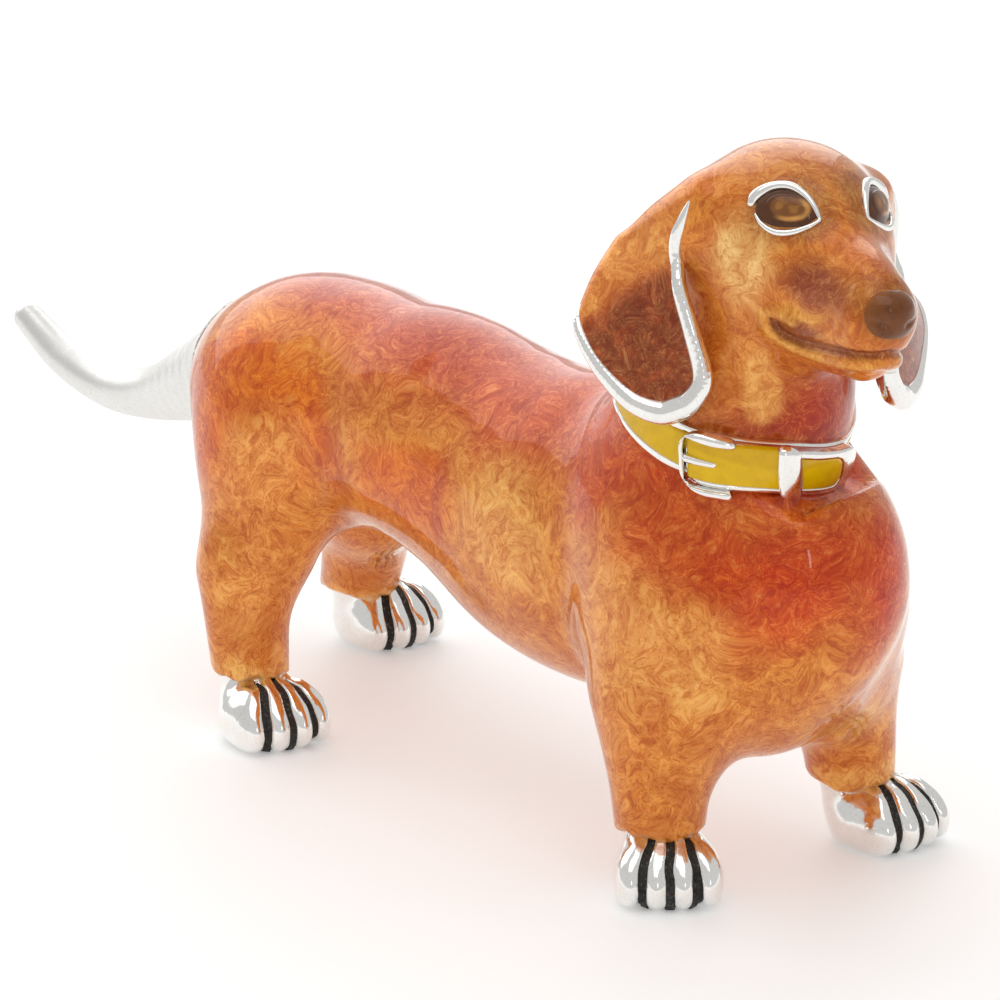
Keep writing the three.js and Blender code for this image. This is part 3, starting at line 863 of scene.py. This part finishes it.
def cast_silver(name, ripple_size=1.4, gloss=(0.16, 0.07), waviness=0.4, shine=1.0):
    """Polished silver-coloured metal with the soft unevenness of a hand-polished casting."""
    s = Shader(name)
    mm = s.millimetres()

    # shine below 1 darkens the metal's colour; the tail's low shine is painted shade
    def tuned(*colour):
        return tuple(shine * channel for channel in colour)

    waves = s.noise(mm, 1 / ripple_size, 2)
    scuffs = s.noise(s.warped(mm, 1.2, 0.8), 6.0, 3, roughness=0.7)
    film = s.noise(mm, 0.5, 3)
    colour = s.ramp(film, [(0.3, tuned(0.92, 0.91, 0.88)), (0.7, tuned(0.97, 0.96, 0.94))])
    worn = s.ramp(scuffs, [(0.3, (0.9, 0.895, 0.88)), (0.5, (1, 1, 1))])
    s.base(s.times(colour, worn))
    dull, bright = gloss
    s.roughness(scuffs, (0.35, dull), (0.65, bright))
    height = s.maths("ADD", waves, s.maths("MULTIPLY", scuffs, 0.04))
    s.bump(height, waviness, 0.1)
    s.set(Metallic=1.0)
    return s.material


def glossy_enamel(name, contrast, coat_roughness=0.04):
    """Opaque enamel: pooled colour, faintly uneven, under a clear gloss."""
    s = Shader(name)
    mm = s.millimetres()
    pools = s.noise(s.warped(mm, 0.8, 0.8), 1.3, 3)
    grain = s.noise(mm, 8.0, 3, roughness=0.7)
    tint = s.add("ShaderNodeAttribute", attribute_name="tint")
    dark = (1 - 0.3 * contrast, 1 - 0.36 * contrast, 1 - 0.4 * contrast)
    light = (1 + 0.12 * contrast, 1 + 0.12 * contrast, 1 + 0.2 * contrast)
    shade = s.ramp(pools, [(0.32, dark), (0.55, (1, 1, 1)), (0.75, light)])
    speck = s.ramp(grain, [(0.3, (0.82, 0.8, 0.78)), (0.5, (1, 1, 1))])
    colour = s.times(tint.outputs["Color"], shade)
    colour = s.mix(contrast, colour, s.times(colour, speck))
    s.base(colour)
    s.roughness(pools, (0.3, 0.42), (0.7, 0.3))
    s.bump(pools, 0.3, 0.06)
    s.set(Metallic=0.05, Coat_Roughness=coat_roughness, Specular_IOR_Level=0.1, **CLEAR_GLOSS)
    return s.material


def black_fill_material():
    """Matt blackening left in the grooves, with bright metal showing through in grains."""
    s = Shader("black_fill_grained")
    mm = s.millimetres()
    grain = s.noise(mm, 5.0, 4, roughness=0.7)
    soot, worn_soot, metal = (0.008, 0.007, 0.006), (0.03, 0.026, 0.022), (0.3, 0.27, 0.24)
    s.base(s.ramp(grain, [(0.35, soot), (0.6, worn_soot), (0.76, metal)]))
    s.roughness(grain, (0.4, 0.6), (0.7, 0.3))
    s.bump(grain, 0.6, 0.12)
    s.set(Metallic=0.3)
    return s.material


BODY_ENAMEL = pearl_enamel("body_pearl_enamel")
HEAD_ENAMEL = pearl_enamel("head_pearl_enamel", contrast=0.85, size=0.75)
EYE_ENAMEL = glossy_enamel("eye_enamel_gloss", 0.6)
YELLOW_ENAMEL = glossy_enamel("yellow_enamel_gloss", 0.3)
NOSE_ENAMEL = glossy_enamel("nose_enamel_gloss", 0.8, 0.08)
SILVER = cast_silver("polished_silver", shine=0.96)
# the tail's colour is turned down with shine 0.84, painted shade that keeps it grey against the white floor
PAINTED_SHADE_TAIL_SILVER = cast_silver("satin_silver_tail_painted_shade", 3.0, (0.46, 0.34), 0.12, 0.84)
BLACK = black_fill_material()


# ---- Making a piece ----
def piece(name, shape, place, material, slot, nodes, tint=None, keep=None):
    """A mesh from surface(), in the frame's metres, riding on the root body for the CAD nodes it shows."""
    points, faces, normals = shape
    if keep is not None:
        faces = faces[keep]
        used = np.unique(faces)
        renumber = -np.ones(len(points), int)
        renumber[used] = np.arange(len(used))
        points, normals, faces = points[used], normals[used], renumber[faces]
    world = place.outward(points)
    directions = normals @ place.turn.T
    if np.linalg.det(place.turn) < 0:
        faces = faces[:, ::-1]
    mesh = bpy.data.meshes.new(name)
    mesh.from_pydata(((world + TO_ORIGIN) / 1000).tolist(), [], faces.tolist())
    mesh.polygons.foreach_set("use_smooth", np.ones(len(faces), bool))
    if tint is not None:
        colours = np.ones((len(points), 4))
        colours[:, :3] = np.clip(tint(world), 0, 1)
        layer = mesh.color_attributes.new("tint", "FLOAT_COLOR", "POINT")
        layer.data.foreach_set("color", colours.ravel())
    mesh.materials.append(material)
    mesh.normals_split_custom_set_from_vertices(directions.tolist())
    made = bpy.data.objects.new(name, mesh)
    bpy.context.scene.collection.objects.link(made)
    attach(made, "root")
    if nodes:
        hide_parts(*nodes)
    return made


# ---- Trunk and tail ----
SEAT_DEPTH = 0.35  # how far the collar's seat goes in below the band's face
SEAT_REACH = 9.5  # how far out from the ring's axis the seat is cut
SEAT_GRIP = 0.1  # how much of each edge of the band the enamel covers


def sag(angle):
    """How far the collar lies off its ring's level: a little high by the buckle, low at its tip."""
    return 0.75 * np.exp(-(((angle + 0.4) / 0.5) ** 2)) - 0.6 * np.exp(-(((angle - 0.65) / 0.45) ** 2))


def collar_seat(p):
    """The room that the collar takes out of the neck."""
    q = COLLAR.inward(p)
    level = q[:, 2] - sag(np.arctan2(q[:, 1], q[:, 0]))
    radius = np.hypot(q[:, 0], q[:, 1])
    across = np.maximum(COLLAR_OUTER - SEAT_DEPTH - radius, radius - SEAT_REACH)
    return np.maximum(across, np.abs(level) - COLLAR_HALF + SEAT_GRIP)


def behind_rump(p):
    """Negative in the rump, positive in the part of the tail that stands out of it."""
    reach_x, reach_z = TAIL_REACH
    in_reach = np.minimum(reach_x - p[:, 0], p[:, 2] - reach_z)
    return np.minimum(trunk_form(p) - RUMP_SHELL, in_reach)


def trunk_coat(p):
    d = meet(body_form(p), above_collar(p), 0.3)
    d = meet(d, behind_rump(p), 0.12)
    round_leg = p * np.array([1, 1, 0])
    hem = ANKLE + 0.4 * ripple(round_leg, 1.8, 11) + 0.15 * ripple(round_leg, 0.7, 12)
    d = cut(d, collar_seat(p), 1.0)
    return meet(d, hem - p[:, 2], 0.35)


def tail_casting(p):
    return meet(body_form(p) + 0.04, -behind_rump(p) + TAIL_GAP, 0.12)


piece(
    "trunk_coat", surface(trunk_coat, (-36, -13, 2.5), (32, 14, 38), 0.36), BODY, BODY_ENAMEL,
    "amber_enamel", ["trunk_enamel", "trunk_casting"], trunk_tint,
)
piece(
    "tail_bare_metal", surface(tail_casting, (-60, -6, 12), (-30, 6, 28), 0.25), BODY, PAINTED_SHADE_TAIL_SILVER, "silver",
    ["tail_casting"],
)

# ---- Head and ears: one surface, shared out between the head and its two ears ----
head_shape = surface(head_form, (6, -14, 27), (37, 15, 49), 0.2)
middles = head_shape[0][head_shape[1]].mean(1)
local = HEAD.inward(middles)
on_ear = {}
for side, place in EARS.items():
    e = place.inward(local)
    flap = ear_form(e) < 0.35
    on_ear[side] = flap & (face_form(local) > 0.5) & (e[:, 1] < 5.5)
on_head = ~(on_ear["right"] | on_ear["left"])
piece(
    "head_coat", head_shape, BODY, HEAD_ENAMEL, "amber_enamel", ["head_enamel", "head_casting"],
    head_tint, on_head,
)
for side in EARS:
    piece(
        side + "_ear_coat", head_shape, BODY, HEAD_ENAMEL, "brown_enamel", [side + "_ear_enamel"], head_tint,
        on_ear[side],
    )

rim_line = spline(EAR_RIM, 6)
RIM_SUNK = 0.4  # how much of its radius the bead sinks into the ear
RIM_START = 2.5  # above the ear's middle surface, where the search for its skin starts


def rim_path():
    """The bead's middle line, lying on the ear's outer skin."""
    place = EARS["right"].within(HEAD)
    x, y = rim_line[:, 0], rim_line[:, 1]
    level = RIM_START - ear_bend(x, y)
    for _ in range(14):
        level = level - 0.8 * head_form(place.outward(np.stack([x, y, level], 1)))
    flat = 0.55 - ear_bend(x, y)
    level = np.clip(level, flat - 0.25, flat + 2.8)
    return np.stack([x, y, level - RIM_SUNK * rim_line[:, 2]], 1)


rim_middle = rim_path()


def rim_bead(e):
    d = chain(e, rim_middle, np.maximum(rim_line[:, 2], 0.05), THIN_BLEND)
    return d + 0.4 * HAND_WORK * ripple(e, 1.8, 13)


rim_shape = surface(rim_bead, (-7.4, -7.6, -2.8), (4.2, 7.8, 4.2), 0.13)
for side, place in EARS.items():
    piece(
        side + "_ear_rim", rim_shape, place.within(HEAD), SILVER, "silver", [side + "_ear_casting"],
    )

# ---- Eyes ----
UPPER_LID = [  # X along the lids, Y up, and the bead's radius; the outer corner comes first
    (-2.2, 0.15, 0.26), (-2.0, 0.65, 0.38), (-1.15, 1.3, 0.3), (-0.1, 1.45, 0.27), (0.85, 1.05, 0.24),
    (1.65, 0.3, 0.18), (2.1, -0.35, 0.1),
]
LOWER_LID = [
    (-1.85, -0.5, 0.07), (-1.3, -1.1, 0.14), (-0.4, -1.5, 0.19), (0.6, -1.4, 0.19),
    (1.55, -0.9, 0.15), (2.05, -0.45, 0.1),
]


def skin_level(place, x, y):
    """How far out along the eye's axis the face lies, over the points x, y of the eye's frame."""
    level = np.zeros(len(x))
    for _ in range(12):
        q = place.outward(np.stack([x, y, level], 1))
        level = level - face_form(q) * 0.8
    return level


def lid_form(lids, place, e):
    d = None
    for lid in lids:
        line = spline(lid, 8)
        level = skin_level(place, line[:, 0], line[:, 1]) + 0.05
        part = chain(e, np.stack([line[:, 0], line[:, 1], level], 1), line[:, 2], THIN_BLEND)
        d = part if d is None else join(d, part, 0.15)
    return d + 0.3 * HAND_WORK * ripple(e, 0.8, 14)


def eye_form(e, base):
    ball = ellipsoid(e, (0, -0.05, base - 0.25), (1.95, 1.32, 0.6))
    iris = ellipsoid(e, (0.1, 0.05, base + 0.2), (1.25, 0.75, 0.18))
    return join(ball, iris, 0.15) + 0.5 * HAND_WORK * ripple(e, 0.5, 72)


def eye_tint(place):
    def tint(p):
        e = place.inward(HEAD.inward(p))
        colours = np.tile(linear(EYE_BROWN), (len(p), 1))
        reach = np.hypot((e[:, 0] - 0.1) / 1.25, (e[:, 1] - 0.05) / 0.75)
        colours = paint(colours, 1 - smooth(reach, 0.75, 1.0), IRIS_BROWN, 0.9)
        rim = smooth(reach, 0.72, 0.92) * (1 - smooth(reach, 1.0, 1.2))
        lower = smooth(e[:, 0] - e[:, 1], -0.3, 1.0)
        colours = paint(colours, rim * lower, GOLD, 0.7)
        patchy = smooth(ripple(e, 0.45, 70), 0.1, 0.6)
        colours = paint(colours, patchy * (1 - smooth(reach, 0.8, 1.1)), LIP_GOLD, 0.2)
        return paint(colours, smooth(ripple(e, 0.5, 71), 0.1, 0.6), EYE_BROWN, 0.6)

    return tint


for side, place in EYES.items():
    turned = [[(-x, y, r) for x, y, r in lid] for lid in (UPPER_LID, LOWER_LID)]
    lids = (UPPER_LID, LOWER_LID) if side == "right" else turned
    base = float(skin_level(place, np.zeros(1), np.zeros(1))[0])
    eye_in_head = place.within(HEAD)
    lid_low, lid_high = (-3.1, -2.5, base - 2.2), (3.1, 2.6, base + 1.6)
    lid_shape = surface(lambda e: lid_form(lids, place, e), lid_low, lid_high, 0.09)
    piece(side + "_eyelids", lid_shape, eye_in_head, SILVER, "silver", [side + "_eye_rim"])
    eye_low, eye_high = (-2.4, -1.8, base - 1.2), (2.4, 1.8, base + 1.0)
    eye_shape = surface(lambda e: eye_form(e, base), eye_low, eye_high, 0.08)
    piece(
        side + "_eye_almond", eye_shape, eye_in_head, EYE_ENAMEL, "brown_enamel", [side + "_eye_enamel"],
        eye_tint(place),
    )


# ---- Nose ----
def nose_form(q):
    d = ellipsoid(q, (11.75, 0, -1.75), (1.7, 1.9, 1.7))
    d = join(d, ellipsoid(q, (12.1, 0, -1.2), (1.3, 1.35, 0.95)), 0.5)
    for side in (-1, 1):
        d = cut(d, limb(q, (13.3, side * 0.7, -2.0), (12.9, side * 1.5, -1.8), 0.1, 0.08), 0.3)
    return d + 0.6 * HAND_WORK * ripple(q, 0.9, 15)


def nose_tint(p):
    q = HEAD.inward(p)
    colours = np.tile(linear(NOSE_BROWN), (len(p), 1))
    colours = paint(colours, smooth(q[:, 0], 11.8, 13.2), NOSE_DARK, 0.8)
    crease = 1 - smooth(q[:, 0] + 0.5 * (q[:, 2] + 1.7), 11.0, 11.8)
    return paint(colours, crease, LIP_GOLD, 0.6)


piece(
    "nose_knob", surface(nose_form, (10, -2.3, -3.7), (14.2, 2.3, 0.4), 0.12), HEAD, NOSE_ENAMEL,
    "brown_enamel", ["nose_enamel"], nose_tint,
)

# ---- Paws ----
for leg, place in PAW_PLACES.items():
    ankle_x, ankle_y = ANKLES[leg]
    ankle = place.inward(np.array([[ankle_x, ankle_y, 0.0]]))[0][:2]
    paw_shape = surface(lambda q: paw_form(q, ankle), (-5.6, -5.2, -0.3), (5.2, 5.2, 5.7), 0.17)
    piece(leg + "_paw_casting", paw_shape, place, SILVER, "silver", [leg + "_paw"])
    for groove, y in GROOVES.items():
        fill = surface(lambda q: fill_form(q, ankle, y), (-1.5, -3.6, -0.2), (5.0, 3.6, 4.4), 0.13)
        node = leg + "_" + groove + "_toe_fill"
        piece(node + "_grained", fill, place, BLACK, "black_fill", [node])


# ---- Collar ----
# Each piece is drawn flat, as X round the neck, Y up the band and Z outward, then bent round.
STRAP_LEAN = 0.3  # the strap's pieces lean back along the band towards its top edge


def bent(shape):
    """A flat shape, wrapped round the collar's ring; X is the arc length at the band's outer face."""
    points, faces, normals = shape
    angle = (points[:, 0] - STRAP_LEAN * points[:, 1]) / COLLAR_OUTER
    radius = COLLAR_OUTER + points[:, 2]
    c, s = np.cos(angle), np.sin(angle)
    world = np.stack([radius * c, radius * s, points[:, 1] + sag(angle)], 1)
    turned_x = normals[:, 2] * c - normals[:, 0] * s
    turned_y = normals[:, 2] * s + normals[:, 0] * c
    return world, faces, np.stack([turned_x, turned_y, normals[:, 1]], 1)


def round_box(e, low, high, edge):
    centre = (np.array(low) + np.array(high)) / 2
    half = (np.array(high) - np.array(low)) / 2
    q = np.abs(e - centre) - half + edge
    return np.linalg.norm(np.maximum(q, 0), axis=1) + np.minimum(q.max(1), 0) - edge


def arc(degrees):
    return np.radians(degrees) * COLLAR_OUTER


def capped_plate(e, start, end, half_height, low, high, edge):
    """A strap whose end is round: from start to end along the band."""
    middle = (start + end) / 2
    corner = half_height * 0.75
    qx = np.abs(e[:, 0] - middle) - (end - start) / 2 + corner
    qy = np.abs(e[:, 1]) - half_height + corner
    flat = np.hypot(np.maximum(qx, 0), np.maximum(qy, 0)) + np.minimum(np.maximum(qx, qy), 0) - corner
    return plate(flat, e[:, 2] - (low + high) / 2, (high - low) / 2, edge)


BAND_WOBBLE = 0.06
STRAP_FROM, STRAP_TO = arc(-61), arc(33)
STRAP_TOP = 0.75
WHOLE_TURN = arc(180)
STRAP_OVERLAP = 0.12  # how far a piece reaches into the one under it


def wobble(e, seed):
    return BAND_WOBBLE * ripple(e, 1.6, seed)


def band_form(e):
    d = round_box(e, (-WHOLE_TURN - 1, -COLLAR_HALF, -0.6), (WHOLE_TURN + 1, COLLAR_HALF, 0.0), 0.25)
    lane = round_box(e, (-WHOLE_TURN - 2, -1.12, -0.25), (WHOLE_TURN + 2, 1.12, 1.0), 0.05)
    return cut(d, lane, 0.1) + wobble(e, 30)


def band_enamel_form(e):
    d = round_box(e, (-WHOLE_TURN - 1, -1.2, -0.6), (WHOLE_TURN + 1, 1.2, 0.0), 0.2)
    return d + 0.5 * wobble(e, 31)


def strap_form(e):
    d = capped_plate(e, STRAP_FROM, STRAP_TO, COLLAR_HALF - 0.02, -STRAP_OVERLAP, STRAP_TOP, 0.22)
    first = round_box(e, (arc(-60), -1.2, 0.45), (arc(-18), 2.2, 2.0), 0.05)
    tip = capped_plate(e, arc(-14), arc(18), 1.12, 0.45, 2.0, 0.05)
    d = cut(d, first, 0.12)
    return cut(d, tip, 0.12) + 0.6 * wobble(e, 32)


def strap_enamel_form(e):
    return round_box(e, (arc(-60.5), -1.27, 0.2), (arc(-16), 1.66, STRAP_TOP), 0.2) + 0.6 * wobble(e, 33)


def tip_enamel_form(e):
    return capped_plate(e, arc(-15), arc(18.8), 1.2, 0.2, STRAP_TOP - 0.03, 0.15) + 0.5 * wobble(e, 34)


def buckle_form(e):
    outer = capped_plate(e, arc(-63.5), arc(-30), 2.15, 0.3, 1.2, 0.3)
    window = round_box(e, (arc(-60.8), -1.62, -1), (arc(-20), 1.62, 3), 0.45)
    d = cut(outer, window, 0.2)
    end = arc(-41) + 0.45 * smooth(e[:, 1], -1.0, 1.0)
    return meet(d, e[:, 0] - end, 0.35) + 0.8 * wobble(e, 35)


def prong_form(e):
    return limb(e, (arc(-60), 0.1, 0.85), (arc(-48.5), 0.1, 0.72), 0.27, 0.22) + 0.3 * wobble(e, 36)


def keeper_form(e):
    d = round_box(e, (arc(-20.5), -1.9, 0.2), (arc(-9.5), 1.9, 1.2), 0.4)
    dome = ellipsoid(e, (arc(-15), 0, 0.7), (0.75, 2.0, 0.72))
    return join(d, dome, 0.3) + 0.5 * wobble(e, 37)


def closed_ring(form, low, high, cell):
    """A form that goes the whole way round, cut where its ends meet at the back of the neck."""
    points, faces, normals = surface(form, (-WHOLE_TURN - 2, *low), (WHOLE_TURN + 2, *high), cell)
    keep = (np.abs(points[faces][:, :, 0]).max(1) < WHOLE_TURN + 0.5)
    return bent((points, faces[keep], normals))


def yellow_tint(p):
    tint = np.tile(linear(YELLOW), (len(p), 1))
    height = np.abs(COLLAR.inward(p)[:, 2])
    return paint(tint, smooth(height, 0.85, 1.2), OLIVE, 0.5)


COLLAR_PIECES = [  # name, form, lowest and highest corner, cell, node, enamelled
    [
        "strap_tongue", strap_form,
        (STRAP_FROM - 0.5, -2.1, -0.4), (STRAP_TO + 0.5, 2.1, 1.1), 0.12, "strap_end", False,
    ],
    ["buckle_bow", buckle_form, (arc(-70), -2.9, 0.0), (arc(-28), 2.9, 1.9), 0.12, "buckle_frame", False],
    ["buckle_pin", prong_form, (arc(-68), -0.8, 0.2), (arc(-42), 0.8, 1.7), 0.1, "buckle_prong", False],
    ["keeper_band", keeper_form, (arc(-22), -2.8, -0.2), (arc(0), 2.8, 2.2), 0.12, "keeper_loop", False],
    [
        "strap_yellow", strap_enamel_form,
        (arc(-64), -1.7, -0.1), (arc(-12), 2.0, 1.1), 0.12, "strap_enamel", True,
    ],
    [
        "tip_yellow", tip_enamel_form,
        (arc(-17), -1.7, -0.1), (arc(30), 1.7, 1.1), 0.12, "strap_tip_enamel", True,
    ],
]
piece(
    "collar_band_edges", closed_ring(band_form, (-2.1, -1.3), (2.1, 0.4), 0.14), COLLAR, SILVER,
    "silver", ["collar_band"],
)
piece(
    "collar_yellow", closed_ring(band_enamel_form, (-1.6, -0.9), (1.6, 0.4), 0.15), COLLAR, YELLOW_ENAMEL,
    "yellow_enamel", ["collar_enamel"], yellow_tint,
)
for name, form, low, high, cell, node, enamelled in COLLAR_PIECES:
    look = (YELLOW_ENAMEL, "yellow_enamel") if enamelled else (SILVER, "silver")
    tint = yellow_tint if enamelled else None
    piece(name, bent(surface(form, low, high, cell)), COLLAR, *look, [node], tint)

# ---- Floor, light and camera ----
FLOOR_REACH = 4.0  # metres, from the middle to each edge


def floor_material():
    s = Shader("studio_floor")
    mm = s.millimetres()
    paper = s.noise(mm, 0.02, 4)
    colour = s.ramp(paper, [(0.3, (0.80, 0.80, 0.795)), (0.7, (0.82, 0.82, 0.815))])
    s.base(colour)
    s.set(Roughness=0.6)
    s.principled.inputs["Emission Color"].default_value = (1, 1, 1, 1)
    s.principled.inputs["Emission Strength"].default_value = 0.26
    return s.material


floor_mesh = bpy.data.meshes.new("studio_floor")
floor_corners = [(x * FLOOR_REACH, y * FLOOR_REACH, 0) for x, y in ((-1, -1), (1, -1), (1, 1), (-1, 1))]
floor_mesh.from_pydata(floor_corners, [], [(0, 1, 2, 3)])
floor_mesh.materials.append(floor_material())
floor = bpy.data.objects.new("studio_floor", floor_mesh)
bpy.context.scene.collection.objects.link(floor)

world = bpy.data.worlds.new("studio")
world.use_nodes = True
world.node_tree.nodes["Background"].inputs["Color"].default_value = (1.0, 0.995, 0.985, 1)
world.node_tree.nodes["Background"].inputs["Strength"].default_value = 0.64
bpy.context.scene.world = world

AIM = Vector((0.0, 0.0, 0.02))  # the lights look at the middle of the dog


def softbox(name, position, size, radiance):
    """A rectangular soft light of that size in metres, whose surface has that radiance."""
    lamp = bpy.data.lights.new(name, "AREA")
    lamp.shape = "RECTANGLE"
    lamp.size, lamp.size_y = size
    lamp.energy = radiance * size[0] * size[1] * np.pi
    made = bpy.data.objects.new(name, lamp)
    made.location = position
    made.rotation_euler = (AIM - Vector(position)).to_track_quat("-Z", "Y").to_euler()
    bpy.context.scene.collection.objects.link(made)


softbox("back_panel", (-0.50, 0.16, 0.36), (1.0, 0.55), 1.15)
softbox("overhead", (0.10, -0.12, 0.70), (0.55, 0.55), 1.05)
softbox("strip_right", (0.47, -0.17, 0.19), (0.02, 0.12), 8.0)

CAMERA_AZIMUTH = 51.0
CAMERA_HEIGHT = 17.5
CAMERA_DISTANCE = 420.0
CAMERA_SIDEWAYS = -3.526  # from the line through the body's origin
CAMERA_RAISED = 18.59
LENS = 235.87
SENSOR = 36.0
a, h = np.radians(CAMERA_AZIMUTH), np.radians(CAMERA_HEIGHT)
back = np.array([np.sin(a) * np.cos(h), -np.cos(a) * np.cos(h), np.sin(h)])
right = np.array([np.cos(a), np.sin(a), 0.0])
up = np.cross(back, right)
eye = CAMERA_DISTANCE * back + CAMERA_SIDEWAYS * right + CAMERA_RAISED * up + TO_ORIGIN
camera_data = bpy.data.cameras.new("camera")
camera_data.lens = LENS
camera_data.sensor_width = SENSOR
camera_data.clip_start = 0.01
camera_data.clip_end = 50
camera = bpy.data.objects.new("camera", camera_data)
camera.matrix_world = Matrix.LocRotScale(
    Vector(eye / 1000), Matrix([[right[i], up[i], back[i]] for i in range(3)]).to_quaternion(), None
)
bpy.context.scene.collection.objects.link(camera)
bpy.context.scene.camera = camera
bpy.context.scene.view_settings.view_transform = "Standard"
